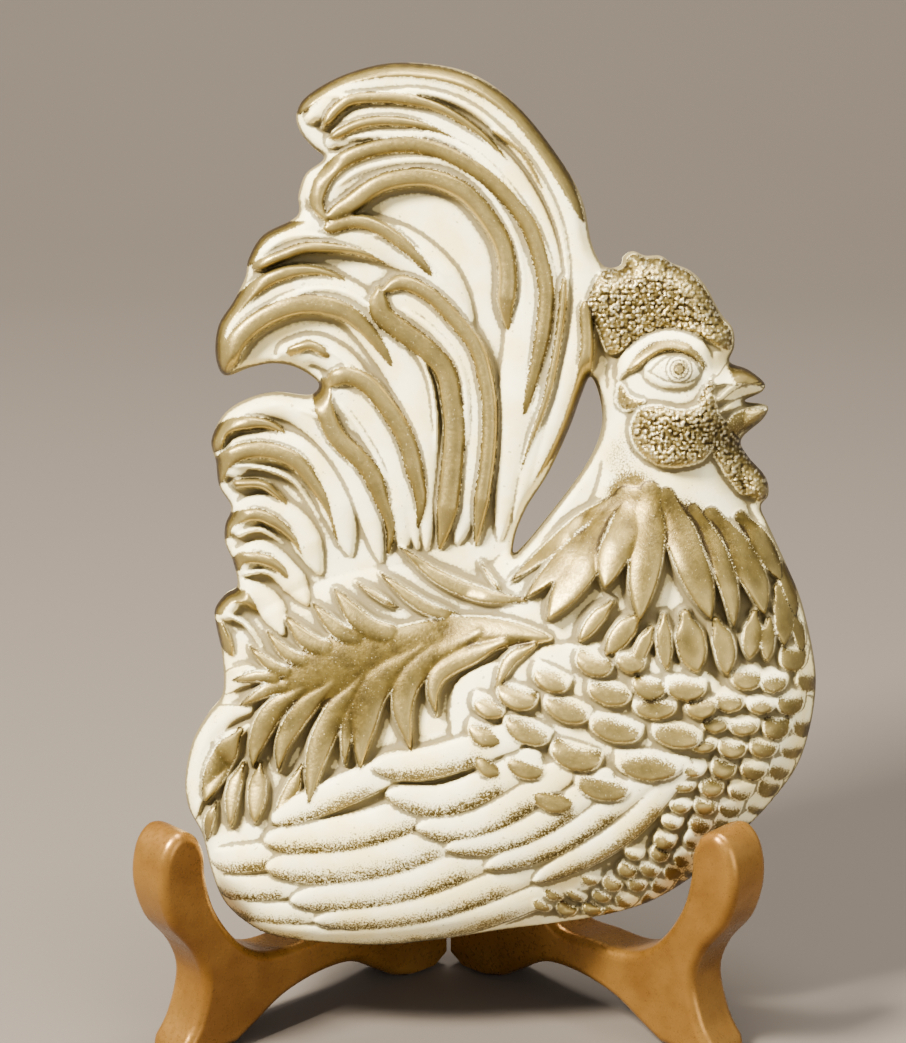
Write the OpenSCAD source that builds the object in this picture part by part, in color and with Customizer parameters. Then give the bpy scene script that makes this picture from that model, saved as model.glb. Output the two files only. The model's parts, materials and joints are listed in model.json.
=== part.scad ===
// Relief rooster plaque standing in a folding two-board display easel.
// The easel folds about the pins of two small butt hinges, and the plaque lifts out of the hooks.

/* [Plaque] */
// Height of the cast rooster from its lowest feather to the top of the tail
plaque_h = 292; // [240:1:320]
// Thickness of the casting round its edge and behind the tail
slab_t = 8; // [6:0.5:10]
// Height of the breast above the flat back
breast_rise = 33; // [26:1:36]
// How far the plaque leans back from vertical, in degrees
lean = 16; // [15:0.5:16]

/* [Easel] */
// Thickness of each easel board
board_t = 18; // [14:0.5:20]
// Angle from straight ahead to each open board, in degrees
open_angle = 47; // [45:1:52]
// Gap between the two boards when folded
board_gap = 1; // [0.8:0.1:1.6]
// Thickness of the felt foot pads
pad_t = 1.5; // [1:0.25:2]

/* [Hinges] */
// Height of each butt hinge
hinge_h = 24; // [20:1:28]
// Width of a hinge leaf from the pin
leaf_w = 13; // [11:0.5:14]
// Radius of the hinge pins
pin_r = 1.1; // [1:0.05:1.3]

/* [Hanger] */
// Width of the strap that holds the hanging ring
strap_w = 12; // [10:0.5:14]
// Radius of the ring's wire
wire_r = 0.9; // [0.8:0.05:1.1]

/* [Hidden] */

// Colours
cream = "cornsilk";
gold = "goldenrod";
brass = "darkkhaki";
felt = "saddlebrown";
steel = "silver";

// Whole object: the origin is at the floor, in the middle of its width and depth
shift = [-8.96, 25.47, 0];

// Plaque: drawn flat with u to the right, v up and its back on z = 0, then stood up
scale_k = plaque_h / 292;
foot_y = -46.5;
foot_z = 30.5;
casting_h = 60;

// Easel profile: r runs along a board from the pin to the hook, z is the height above the floor
board_rise = pad_t;
pad_d = 10;
front_pad_r = 106;
rear_pad_r = 15;
hinge_z = [58, 116];

// Hinges
leaf_t = 1;
knuckle_r = 2.2;
knuckle_gap = 0.2;
bore_r = pin_r + 0.05;
screw_r = 0.9;
screw_head_r = 1.8;
screw_l = 9;
screw_at = [7, 10];

// Hanger, on the back of the tail
hanger_u = 17;
hanger_v = 212;
strap_t = 0.8;
loop_r = wire_r + 0.08;
ring_w = 20;
ring_l = 18;

// Smooth curve through points: Catmull-Rom, n steps for each span, open or closed
function cr(a, b, c, d, t) = 0.5 * (2 * b + (c - a) * t + (2 * a - 5 * b + 4 * c - d) * t * t
    + (3 * b - 3 * c + d - a) * t * t * t);
function closed_curve(p, n) = let (k = len(p)) [for (i = [0 : k - 1], j = [0 : n - 1])
    cr(p[(i + k - 1) % k], p[i], p[(i + 1) % k], p[(i + 2) % k], j / n)];
function open_curve(p, n) = let (k = len(p)) [for (i = [0 : k - 2], j = [0 : n - 1])
    cr(p[max(i - 1, 0)], p[i], p[i + 1], p[min(i + 2, k - 1)], j / n)];

// Rooster's silhouette, clockwise from the tip of the top tail feather
tail_top = [[-50, 273], [-47, 281], [-33, 289], [-9, 292], [13, 287], [32, 270], [43, 248], [50, 227]];
comb_edge = [[52, 225], [57, 226], [58, 229], [61, 230], [66, 229], [72, 229], [80, 223], [88, 214],
    [94, 205], [95.5, 195]];
beak_edge = [[99, 193], [104.5, 188], [104, 184], [106, 180], [100, 172], [96, 167]];
wattle_edge = [[99, 162], [105, 156], [106, 148], [102, 143]];
breast_edge = [[109, 135], [115, 121], [120, 103], [122, 86], [119, 71], [109, 52], [96, 36], [81, 24],
    [64, 15], [34, 8], [-1, 4], [-33, 0], [-58, 3], [-70, 10], [-78, 20], [-82, 40], [-87, 54], [-84, 71],
    [-75, 85]];
low_plumes = [[-75, 94], [-73, 101], [-77, 110], [-72, 119], [-70, 129], [-74, 137], [-71, 144],
    [-76, 154], [-75, 161], [-79, 168], [-72, 179], [-58, 184], [-42, 184.5]];
mid_plumes = [[-57, 191], [-74, 188], [-77, 200], [-72, 216], [-67, 221], [-66, 232], [-55, 243],
    [-49, 247], [-48, 256], [-41, 261]];
outline_pts = concat(tail_top, comb_edge, beak_edge, wattle_edge, breast_edge, low_plumes, mid_plumes);
// Gap between the tail and the neck
gap_pts = [[47, 189], [50, 182], [50, 174], [46, 161], [38, 148], [22, 130], [23, 140], [32, 157],
    [40, 173]];

// Tail feathers: spine points, then the radius at the tip and at the root
plumes = [
    [[[-45, 273], [-36, 282], [-8, 286], [16, 278], [33, 259], [42, 234], [43, 205], [34, 172], [24, 140]], 5, 4],
    [[[-37, 271], [-22, 277], [2, 270], [18, 253], [26, 230], [27, 205], [24, 175], [19, 140]], 5, 4],
    [[[-39, 244], [-30, 252], [-10, 257], [8, 249], [20, 232], [25, 212], [22, 185], [16, 140]], 6, 5],
    [[[-61, 232], [-45, 236], [-22, 234], [-5, 222], [6, 205]], 5, 3],
    [[[-72, 196], [-65, 210], [-45, 217], [-25, 210], [-14, 195], [-10, 175], [-8, 145]], 6, 4],
    [[[-20, 216], [-8, 213], [3, 203], [8, 185], [8, 160], [5, 138]], 6, 5],
    [[[-36, 182], [-27, 178], [-18, 163], [-13, 145], [-10, 132]], 6, 4],
    [[[-73, 172], [-60, 176], [-42, 168], [-28, 150], [-20, 130]], 5, 3],
    [[[-70, 157], [-58, 162], [-45, 154], [-36, 138]], 5, 3],
    [[[-69, 139], [-60, 141], [-50, 135], [-42, 124]], 4, 3],
    [[[-68, 126], [-60, 128], [-50, 118]], 4, 3],
    [[[-71, 110], [-62, 114], [-55, 106]], 4, 3]];
plume_rise = 9;
// How the casting rounds in from its edge: height above the back, then how far in from the outline
rim_steps = [[0, 0], [12, 1.6], [16, 3.9], [20, 7.1], [24, 11.2], [28, 16.2], [casting_h, 16.2]];

// Stretches of the easel board's edge, from the top of the upright down to the hook and back
upright_edge = [[0.5, 160], [1, 168], [3, 170.5], [5, 169.5], [6, 164]];
seat_edge = [[29, 82], [37, 50], [46.5, 30.5], [64, 29], [78, 29.5], [88, 34], [96, 42], [103, 54], [106, 66]];
hook_edge = [[106.5, 74], [110, 81], [117, 83.5], [123, 78], [125, 66], [121, 52], [112, 40], [108, 28],
    [112, 14], [118, 6]];
arch_edge = [[95, board_rise], [86, 6], [74, 12], [58, 15], [43, 14], [31, 7]];
foot_edge = [[24, board_rise + 1.2], [21, board_rise]];
heel_edge = [[6, board_rise], [0.5, 5]];
board_pts = concat(upright_edge, open_curve(concat([[6, 164]], seat_edge, hook_edge), 5),
    [[119, board_rise]], open_curve(arch_edge, 5), foot_edge, heel_edge);

// Puts a thing drawn flat into its place on the leaning plaque
module on_plaque() {
    translate(shift + [0, foot_y, foot_z]) rotate([90 - lean, 0, 0]) children();
}

// Stands a thing drawn along a board at one side: x along the board, y the outward face, z up
module on_board(side) {
    translate(shift) mirror([side > 0 ? 1 : 0, 0, 0]) rotate([0, 0, -90 - open_angle]) children();
}

module outline() {
    scale(scale_k) difference() {
        polygon(closed_curve(outline_pts, 2));
        polygon(closed_curve(gap_pts, 2));
    }
}

// One ball of a feather, sunk so that it stands out of the slab by about its radius
module bead(p, r) {
    translate([p[0], p[1], slab_t + plume_rise - r - 3]) scale([1, 1, 1.3]) sphere(r, $fn = 8);
}

module plume(p) {
    pts = open_curve(p[0], 2);
    k = len(pts) - 1;
    for (i = [0 : k - 1]) hull() {
        bead(pts[i], p[1] + (p[2] - p[1]) * i / k);
        bead(pts[i + 1], p[1] + (p[2] - p[1]) * (i + 1) / k);
    }
}

// A swelling of the casting: an ellipsoid whose middle lies on the slab
module swelling(u, v, half_u, half_v, rise, turn = 0) {
    translate([u, v, slab_t - 4]) rotate(turn) scale([half_u, half_v, rise - slab_t + 4])
        sphere(1, $fn = 36);
}

module body_mass() {
    swelling(60, 80, 68, 68, breast_rise);
    swelling(-8, 42, 82, 44, breast_rise - 6, 10);
    swelling(-22, 88, 62, 40, breast_rise - 10, 12);
    hull() {
        swelling(72, 120, 44, 34, breast_rise - 4);
        swelling(74, 176, 23, 20, breast_rise - 9);
    }
    swelling(75, 188, 24, 19, breast_rise - 7);
}

module comb() {
    hull() {
        swelling(58, 207, 11, 18, 17);
        swelling(74, 212, 13, 16, 18);
        swelling(91, 200, 7, 8, 15);
    }
}

module face_parts() {
    swelling(71, 163, 11, 13, breast_rise - 4);
    hull() {
        swelling(86, 164, 7, 8, 22);
        swelling(98, 151, 9, 9, 20);
    }
    hull() {
        swelling(88, 188, 10, 9, 22);
        swelling(101, 184, 5, 6, 15);
    }
}

// The room that the relief may fill: it steps in from the outline as it rises
module rounded_room() {
    for (k = [0 : len(rim_steps) - 2]) translate([0, 0, rim_steps[k][0]])
        linear_extrude(rim_steps[k + 1][0] - rim_steps[k][0]) offset(delta = -rim_steps[k][1]) outline();
}

module rooster_casting() {
    color(cream) on_plaque() intersection() {
        rounded_room();
        scale([scale_k, scale_k, 1]) union() {
            translate([-130, -10, 0]) cube([270, 320, slab_t]);
            for (p = plumes) plume(p);
            body_mass();
            comb();
            face_parts();
        }
    }
}

// Flat tab with a rolled loop for the ring's straight side
module hanger_strap() {
    tab_l = 18;
    color(steel) on_plaque() translate([hanger_u, hanger_v, -strap_t]) difference() {
        union() {
            translate([-strap_w / 2, 0, 0]) cube([strap_w, tab_l, strap_t]);
            translate([-strap_w / 2, 0, -loop_r]) rotate([0, 90, 0])
                cylinder(r = loop_r + strap_t, h = strap_w, $fn = 32);
        }
        translate([-strap_w, 0, -loop_r]) rotate([0, 90, 0]) cylinder(r = loop_r, h = 2 * strap_w, $fn = 32);
        for (v = screw_at) translate([0, v + 0.8 * (v - screw_at[0]), -1]) cylinder(r = screw_r + 0.1, h = 4, $fn = 24);
    }
}

// Two pan-head screws that hold the strap to the casting
module hanger_screws() {
    color(steel) on_plaque() for (v = screw_at)
        translate([hanger_u, hanger_v + v + 0.8 * (v - screw_at[0]), -strap_t]) {
            translate([0, 0, -1.2]) cylinder(r1 = 1.5, r2 = 2.1, h = 1.2, $fn = 24);
            cylinder(r = screw_r, h = 7, $fn = 24);
        }
}

// Wire D-ring: a straight side in the strap's loop, hanging plumb below it
module hanger_ring() {
    half = ring_w / 2;
    color(steel) on_plaque() translate([hanger_u, hanger_v, -strap_t - loop_r]) rotate([lean, 0, 0]) {
        translate([-half, 0, 0]) rotate([0, 90, 0]) cylinder(r = wire_r, h = ring_w, $fn = 24);
        for (s = [-1, 1]) translate([s * half, 0, 0]) {
            sphere(wire_r, $fn = 24);
            rotate([90, 0, 0]) cylinder(r = wire_r, h = ring_l - half, $fn = 24);
        }
        translate([0, half - ring_l, 0]) rotate(180) rotate_extrude(angle = 180, $fn = 48)
            translate([half, 0]) circle(wire_r, $fn = 24);
    }
}

// Felt dots that keep the casting off a wall
module wall_bumpers() {
    color(felt) on_plaque() for (p = [[-58, 60], [86, 60], [5, 272]])
        translate([p[0], p[1], -1.5]) cylinder(r = 5, h = 1.5, $fn = 40);
}

module hinge_pocket(z0) {
    translate([-1, -board_gap / 2 - leaf_t - 0.05, z0 - 0.1]) cube([leaf_w + 1.1, leaf_t + 2, hinge_h + 0.2]);
    translate([0, 0, z0 - 1.5]) cylinder(r = knuckle_r + 0.3, h = hinge_h + 3, $fn = 40);
    for (s = screw_spots(z0)) translate([s[0], 0, s[1]]) rotate([90, 0, 0])
        cylinder(r = screw_r - 0.05, h = screw_l, $fn = 24);
}

function screw_spots(z0) = [for (k = [0, 1]) [screw_at[0] + k * 1.5, z0 + hinge_h * (0.25 + 0.5 * k)]];

module board(side) {
    color(gold) on_board(side) difference() {
        translate([0, -board_gap / 2, 0]) rotate([90, 0, 0]) linear_extrude(board_t) polygon(board_pts);
        for (z0 = hinge_z) hinge_pocket(z0);
    }
}

// Left leaves carry the two outer knuckles, right leaves the middle one
module leaf(side, z0) {
    third = hinge_h / 3;
    spans = side < 0 ? [[0, third - knuckle_gap], [2 * third + knuckle_gap, third - knuckle_gap]]
        : [[third, third]];
    color(brass) on_board(side) difference() {
        union() {
            translate([knuckle_r + 0.4, -board_gap / 2 - leaf_t, z0])
                cube([leaf_w - knuckle_r - 0.4, leaf_t, hinge_h]);
            for (s = spans) translate([0, 0, z0 + s[0]]) {
                cylinder(r = knuckle_r, h = s[1], $fn = 40);
                translate([0, -board_gap / 2 - leaf_t, 0]) cube([knuckle_r + 1, leaf_t, s[1]]);
            }
        }
        translate([0, 0, z0 - 1]) cylinder(r = bore_r, h = hinge_h + 2, $fn = 40);
        for (s = screw_spots(z0)) translate([s[0], 0.5 - board_gap / 2, s[1]]) rotate([90, 0, 0])
            cylinder(r = screw_r + 0.1, h = 4, $fn = 24);
    }
}

module leaf_screws(side, z0) {
    color(brass) on_board(side) for (s = screw_spots(z0))
        translate([s[0], -board_gap / 2, s[1]]) rotate([90, 0, 0]) {
            translate([0, 0, -0.35]) cylinder(r = screw_head_r, h = 0.35, $fn = 32);
            cylinder(r = screw_r, h = screw_l - 1, $fn = 24);
        }
}

module foot_pad(side, r) {
    color(felt) on_board(side) translate([r, -(board_gap + board_t) / 2, 0])
        cylinder(r = pad_d / 2, h = pad_t, $fn = 48);
}

module hinge_pin(z0) {
    color(brass) translate(shift) {
        translate([0, 0, z0 - 0.2]) cylinder(r = pin_r, h = hinge_h + 0.4, $fn = 40);
        translate([0, 0, z0 - 1]) cylinder(r1 = pin_r * 0.9, r2 = pin_r * 1.6, h = 0.8, $fn = 40);
        translate([0, 0, z0 + hinge_h + 0.2]) cylinder(r1 = pin_r * 1.6, r2 = pin_r * 0.9, h = 0.8, $fn = 40);
    }
}

rooster_casting();
hanger_strap();
hanger_screws();
hanger_ring();
wall_bumpers();
board(-1);  // left_board
leaf(-1, hinge_z[1]);  // left_upper_leaf
leaf(-1, hinge_z[0]);  // left_lower_leaf
leaf_screws(-1, hinge_z[1]);  // left_upper_screws
leaf_screws(-1, hinge_z[0]);  // left_lower_screws
foot_pad(-1, front_pad_r);  // left_front_pad
foot_pad(-1, rear_pad_r);  // left_rear_pad
board(1);  // right_board
leaf(1, hinge_z[1]);  // right_upper_leaf
leaf(1, hinge_z[0]);  // right_lower_leaf
leaf_screws(1, hinge_z[1]);  // right_upper_screws
leaf_screws(1, hinge_z[0]);  // right_lower_screws
foot_pad(1, front_pad_r);  // right_front_pad
foot_pad(1, rear_pad_r);  // right_rear_pad
hinge_pin(hinge_z[1]);  // upper_pin
hinge_pin(hinge_z[0]);  // lower_pin
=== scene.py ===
"""Looks of the relief rooster plaque on its folding easel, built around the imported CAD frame."""

import json
import math

import bmesh
import bpy
import numpy as np
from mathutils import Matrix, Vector
from mathutils.geometry import tessellate_polygon


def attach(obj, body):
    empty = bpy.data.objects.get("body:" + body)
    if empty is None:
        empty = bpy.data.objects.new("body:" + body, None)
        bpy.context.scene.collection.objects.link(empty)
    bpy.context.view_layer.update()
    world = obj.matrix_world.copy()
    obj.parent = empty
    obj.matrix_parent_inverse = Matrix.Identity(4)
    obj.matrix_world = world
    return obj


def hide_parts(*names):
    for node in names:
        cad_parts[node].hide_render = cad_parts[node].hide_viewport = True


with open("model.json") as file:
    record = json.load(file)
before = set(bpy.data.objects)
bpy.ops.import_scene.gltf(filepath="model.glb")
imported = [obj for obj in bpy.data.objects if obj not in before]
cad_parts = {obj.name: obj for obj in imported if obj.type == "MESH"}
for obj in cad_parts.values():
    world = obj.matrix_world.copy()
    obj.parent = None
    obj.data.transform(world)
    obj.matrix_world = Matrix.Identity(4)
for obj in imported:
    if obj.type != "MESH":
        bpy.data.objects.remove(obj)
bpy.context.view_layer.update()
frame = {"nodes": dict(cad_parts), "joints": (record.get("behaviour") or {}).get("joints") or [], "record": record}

MM = 0.001
GRID = 0.45                # grid step of the relief, mm
WEB = 8.0                  # thickness behind the tail, mm
EDGE = 4.5                 # thickness at the very edge, mm
RIM_RADIUS = 17.0          # rounding of the relief towards its edge, mm
SHEET_LOW = (-91.0, -3.0)  # lowest corner of the sheet that is sculpted, mm
SHEET_SIZE = (218, 299)    # its width and height, mm
BOARD_ROUND = 3.4          # rounding of the boards' sawn edges, mm; more would fold over at the toes

# The plaque's plane comes from two joints: it lifts along UP, and its ring's hinge is at RING_AT on it
RING_AT = (17.0, 212.0, -1.78)
JOINTS = {joint["name"]: joint for joint in frame["joints"]}


def unit(values):
    return np.array(values) / np.linalg.norm(values)


RIGHT = np.array((1.0, 0.0, 0.0))
UP = unit(JOINTS["plaque_lift"]["axis"])
OUT = np.cross(RIGHT, UP)
FOOT = (np.array(JOINTS["ring_swing"]["pos_m"]) / MM
        - RIGHT * RING_AT[0] - UP * RING_AT[1] - OUT * RING_AT[2])


def on_plane(u, v, w):
    """World places, in metres, of points given in the plaque's own millimetres."""
    u, v, w = (np.asarray(x, dtype=float)[..., None] for x in (u, v, w))
    return (FOOT + u * RIGHT + v * UP + w * OUT) * MM


# ---------------------------------------------------------------- curves

def spline(points, steps, closed=False):
    """A smooth curve through points (Catmull-Rom), as an array of places."""
    pts = np.array(points, dtype=float)
    count = len(pts)
    if closed:
        ring = np.vstack([pts[-1:], pts, pts[:2]])
    else:
        ring = np.vstack([2 * pts[:1] - pts[1:2], pts, 2 * pts[-1:] - pts[-2:-1]])
    out = []
    spans = count if closed else count - 1
    for i in range(spans):
        a, b, c, d = ring[i:i + 4]
        for t in np.arange(steps) / steps:
            out.append(0.5 * (2 * b + (c - a) * t + (2 * a - 5 * b + 4 * c - d) * t * t
                              + (3 * b - 3 * c + d - a) * t ** 3))
    if not closed:
        out.append(pts[-1])
    return np.array(out)


def smooth(x, low, high):
    t = np.clip((x - low) / (high - low), 0, 1)
    return t * t * (3 - 2 * t)


# ---------------------------------------------------------------- relief

class Relief:
    """A height field over the plaque's plane: base height, and lifts laid over each other."""

    def __init__(self, step):
        self.step = step
        self.u0, self.v0 = SHEET_LOW
        self.nu = int(SHEET_SIZE[0] / step) + 1
        self.nv = int(SHEET_SIZE[1] / step) + 1
        u = self.u0 + np.arange(self.nu) * step
        v = self.v0 + np.arange(self.nv) * step
        self.U, self.V = np.meshgrid(u, v)
        self.base = np.full(self.U.shape, WEB)
        self.lift = np.zeros(self.U.shape)
        self.gold = np.zeros(self.U.shape)
        self.pebble = np.zeros(self.U.shape)
        # dark lines: painted shadow along band and feather edges, and the eye's dark lines
        self.ink_and_shadow = np.zeros(self.U.shape)

    def window(self, pts, reach):
        low = pts.min(axis=0) - reach
        high = pts.max(axis=0) + reach
        i0 = max(int((low[1] - self.v0) / self.step), 0)
        i1 = min(int((high[1] - self.v0) / self.step) + 2, self.nv)
        j0 = max(int((low[0] - self.u0) / self.step), 0)
        j1 = min(int((high[0] - self.u0) / self.step) + 2, self.nu)
        return slice(i0, i1), slice(j0, j1)

    def along(self, pts, reach):
        """For cells near a line: distance, place along it from 0 to 1, side, and the nearest point."""
        box = self.window(pts, reach)
        shape = self.U[box].shape
        far = np.full(shape, 1e9)
        place = np.zeros(shape)
        side = np.ones(shape)
        near = np.zeros(shape + (2,))
        steps = np.linalg.norm(np.diff(pts, axis=0), axis=1)
        total = max(steps.sum(), 1e-9)
        start = 0.0
        for a, b, length in zip(pts[:-1], pts[1:], steps):
            own = self.window(np.array([a, b]), reach)
            rows = slice(own[0].start - box[0].start, own[0].stop - box[0].start)
            cols = slice(own[1].start - box[1].start, own[1].stop - box[1].start)
            du = self.U[own] - a[0]
            dv = self.V[own] - a[1]
            ab = b - a
            s = np.clip((du * ab[0] + dv * ab[1]) / max(length * length, 1e-9), 0, 1)
            eu = du - s * ab[0]
            ev = dv - s * ab[1]
            d = np.hypot(eu, ev)
            closer = d < far[rows, cols]
            far[rows, cols] = np.where(closer, d, far[rows, cols])
            place[rows, cols] = np.where(closer, (start + s * length) / total, place[rows, cols])
            turn = np.where(ab[0] * ev - ab[1] * eu >= 0, 1.0, -1.0)
            side[rows, cols] = np.where(closer, turn, side[rows, cols])
            near[rows, cols, 0] = np.where(closer, a[0] + s * ab[0], near[rows, cols, 0])
            near[rows, cols, 1] = np.where(closer, a[1] + s * ab[1], near[rows, cols, 1])
            start += length
        return box, far, place, side, near

    def inside(self, pts, box=None):
        """True in cells inside a closed line."""
        if box is None:
            box = (slice(0, self.nv), slice(0, self.nu))
        u = self.U[box]
        v = self.V[box]
        odd = np.zeros(u.shape, dtype=bool)
        for a, b in zip(pts, np.roll(pts, -1, axis=0)):
            if a[1] == b[1]:
                continue
            crosses = (a[1] > v) != (b[1] > v)
            odd ^= crosses & (u < (b[0] - a[0]) * (v - a[1]) / (b[1] - a[1]) + a[0])
        return odd

    def lay(self, box, lift, gold, where, pebble=0.0, ink_and_shadow=0.0):
        """Lays a form over what is there: it shows where it is higher."""
        top = where & (lift > self.lift[box])
        self.lift[box] = np.where(top, lift, self.lift[box])
        self.gold[box] = np.where(top, gold, self.gold[box])
        self.pebble[box] = np.where(top, pebble, self.pebble[box])
        self.ink_and_shadow[box] = np.where(top, ink_and_shadow, self.ink_and_shadow[box])

    def band(self, points, half, rise, base=1.0, gold=1.0, tip=0.06, root=0.35, pebble=0.0):
        """A rounded band: blunt at its first point, thinning to its last."""
        pts = spline(points, 10)
        box, far, t, hand, _ = self.along(pts, half + 1)
        start = np.sqrt(np.clip(1 - (1 - np.clip(t / tip, 0, 1)) ** 2, 0, 1))
        end = np.clip((1 - t) / root, 0, 1) ** 0.6
        width = half * np.maximum(start, 0.35) * end + 1e-6
        s = far / width
        round_top = np.clip(1 - s ** 2.0, 0, 1) ** 0.5
        height = base * end * smooth(width - far, 0, 0.8) + rise * (0.4 + 0.6 * end) * round_top
        edge = np.exp(-((far - width + 0.1) / 0.5) ** 2)
        # a dark line at the band's edge, stronger on one side: painted shadow
        ink_and_shadow = (0.8 if gold else 0.3) * edge * np.where(hand < 0, 1.0, 0.5)
        self.lay(box, height, gold * smooth(1 - s, 0.02, 0.14), s < 1, pebble, ink_and_shadow)

    def leaf(self, points, half, rise, base=0.5, slope=1.5, gold=1.0, gold_from=-1.0, side=0.0,
             blunt=0.5, border=0.16, root_width=0.45, rise_in=0.0, soft=0.14, cup=0.0):
        """A feather from root to tip that stands higher at its tip. side paints only one edge."""
        pts = spline(points, 9)
        box, far, t, hand, _ = self.along(pts, half + 1)
        root = root_width + (1 - root_width) * smooth(t, 0.0, 0.35)
        grown = smooth(t, 0.0, rise_in) if rise_in else np.ones(t.shape)
        fall = np.clip((t - 0.5) / 0.5, 0, 1)
        tip = (1 - fall ** (1.4 + 2.2 * blunt)) ** (0.9 - 0.45 * blunt)
        width = half * root * tip + 1e-6
        s = far / width
        stand = (base + slope * t) * grown * smooth(width - far, 0, 0.7)
        height = stand + rise * np.clip(1 - s ** 2.2, 0, 1) ** 0.5 * (0.2 + 0.8 * grown)
        rim = max(border, 1.1 / half)
        paint = gold * smooth(1 - s, rim - 0.12, rim + 0.06)
        paint = paint * smooth(t - cup * s * s, gold_from, gold_from + soft)
        if side:
            paint = paint * smooth(side * hand * s, -0.5, 0.7)
        inset = 0.85 if side else 0.4
        edge = np.exp(-((far - width + inset) / 0.45) ** 2)
        # a dark line along the feather's edge, weaker on the side away from the gold: painted shadow under the
        # edge
        self.lay(box, height, paint, s < 1, ink_and_shadow=edge * np.where(side * hand < 0, 0.25, 1.0))

    def patch(self, points, rise, edge, base=0.0, gold=1.0, pebble=0.0):
        """A flat-topped area with rounded sides, inside a closed line."""
        pts = spline(points, 5, closed=True)
        loop = np.vstack([pts, pts[:1]])
        box, far, _, _, _ = self.along(loop, edge + 40)
        where = self.inside(pts, box)
        shoulder = np.sqrt(np.clip(1 - (1 - np.clip(far / edge, 0, 1)) ** 2, 0, 1))
        self.lay(box, base + rise * shoulder, gold * smooth(far, 0.2, 0.7), where, pebble)

    def bump(self, u, v, half_u, half_v, rise, base=0.0, gold=0.0):
        """A rounded swelling on an ellipse."""
        pts = np.array([[u, v]])
        box = self.window(pts, max(half_u, half_v) + 1)
        s = np.hypot((self.U[box] - u) / half_u, (self.V[box] - v) / half_v)
        height = base + rise * np.sqrt(np.clip(1 - s * s, 0, 1))
        self.lay(box, height, gold * smooth(1 - s, 0, 0.15), s < 1)


def blur(field, radius):
    """Gaussian blur, radius in cells."""
    reach = int(radius * 2.5) + 1
    taps = np.exp(-0.5 * (np.arange(-reach, reach + 1) / radius) ** 2)
    taps /= taps.sum()
    out = field
    for axis in (0, 1):
        padded = np.pad(out, [(reach, reach) if k == axis else (0, 0) for k in (0, 1)], mode="edge")
        total = np.zeros_like(field)
        for k, tap in enumerate(taps):
            moved = padded[k:k + field.shape[0], :] if axis == 0 else padded[:, k:k + field.shape[1]]
            total += tap * moved
        out = total
    return out


def pebbles(u, v, size, seed):
    """Small rounded bumps, one in each cell of a jittered grid, from 0 to 1."""
    rng = np.random.default_rng(seed)
    n = 256
    shift = rng.random((n, n, 2)) * 0.75 + 0.125
    tall = 0.6 + 0.4 * rng.random((n, n))
    x = u / size
    y = v / size
    cx = np.floor(x).astype(int)
    cy = np.floor(y).astype(int)
    best = np.zeros(u.shape)
    for i in (-1, 0, 1):
        for j in (-1, 0, 1):
            kx = (cx + i) % n
            ky = (cy + j) % n
            px = cx + i + shift[kx, ky, 0]
            py = cy + j + shift[kx, ky, 1]
            d = np.hypot(x - px, y - py)
            best = np.maximum(best, tall[kx, ky] * np.sqrt(np.clip(1 - (d / 0.58) ** 2, 0, 1)))
    return best


# ---------------------------------------------------------------- the rooster, in its own millimetres

TAIL_TOP = [(-49, 270), (-50, 276), (-46, 282), (-33, 289), (-16, 292.5), (6, 289.5), (22, 279), (36, 262),
            (44, 248), (47, 234), (50, 227)]
COMB_EDGE = [(53, 225), (57, 226), (58, 229), (61, 230.5), (65, 229), (70, 229), (74, 226.5), (80, 224),
             (85, 219), (90, 210), (94, 205), (94.5, 199), (93, 194)]
BEAK_EDGE = [(99, 191.5), (104.5, 187), (103.5, 184), (98, 181), (105.5, 179.5), (104, 175), (97, 168.5)]
WATTLE_EDGE = [(99, 163), (105, 156), (106, 150), (103.5, 146)]
BREAST_EDGE = [(106, 140), (112, 127), (117, 115), (121, 98), (122, 86), (120, 72), (116, 60), (109, 50),
               (100, 40), (90, 31), (80, 22), (66, 14), (50, 9.5), (34, 7), (18, 5), (-1, 2), (-20, 0),
               (-38, 0.5), (-58, 3), (-68, 8), (-75, 15), (-79, 25), (-82, 37), (-86.5, 46), (-87.5, 56),
               (-85, 68), (-80, 77), (-75, 84)]
LOW_PLUMES = [(-75, 96), (-77, 106), (-77.5, 112), (-74, 117), (-70, 120), (-71.5, 128), (-74, 134),
              (-74, 140), (-72, 146), (-76, 153), (-77, 161), (-78.5, 168), (-74, 177), (-66, 182),
              (-57, 184), (-46, 183)]
MID_PLUMES = [(-43, 187), (-50, 192), (-58, 193.5), (-66, 192), (-74, 189.5), (-77, 196), (-76, 206),
              (-71, 214), (-67, 222), (-66, 228), (-61, 236), (-50, 242), (-49.5, 249), (-47, 256),
              (-41, 261), (-45, 265)]
OUTLINE = TAIL_TOP + COMB_EDGE + BEAK_EDGE + WATTLE_EDGE + BREAST_EDGE + LOW_PLUMES + MID_PLUMES
NECK_GAP = [(47, 189), (50, 183), (51, 173), (47, 162), (38, 149), (23, 131), (22, 136), (26, 146),
            (33, 157), (40, 172), (44, 183)]


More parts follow.
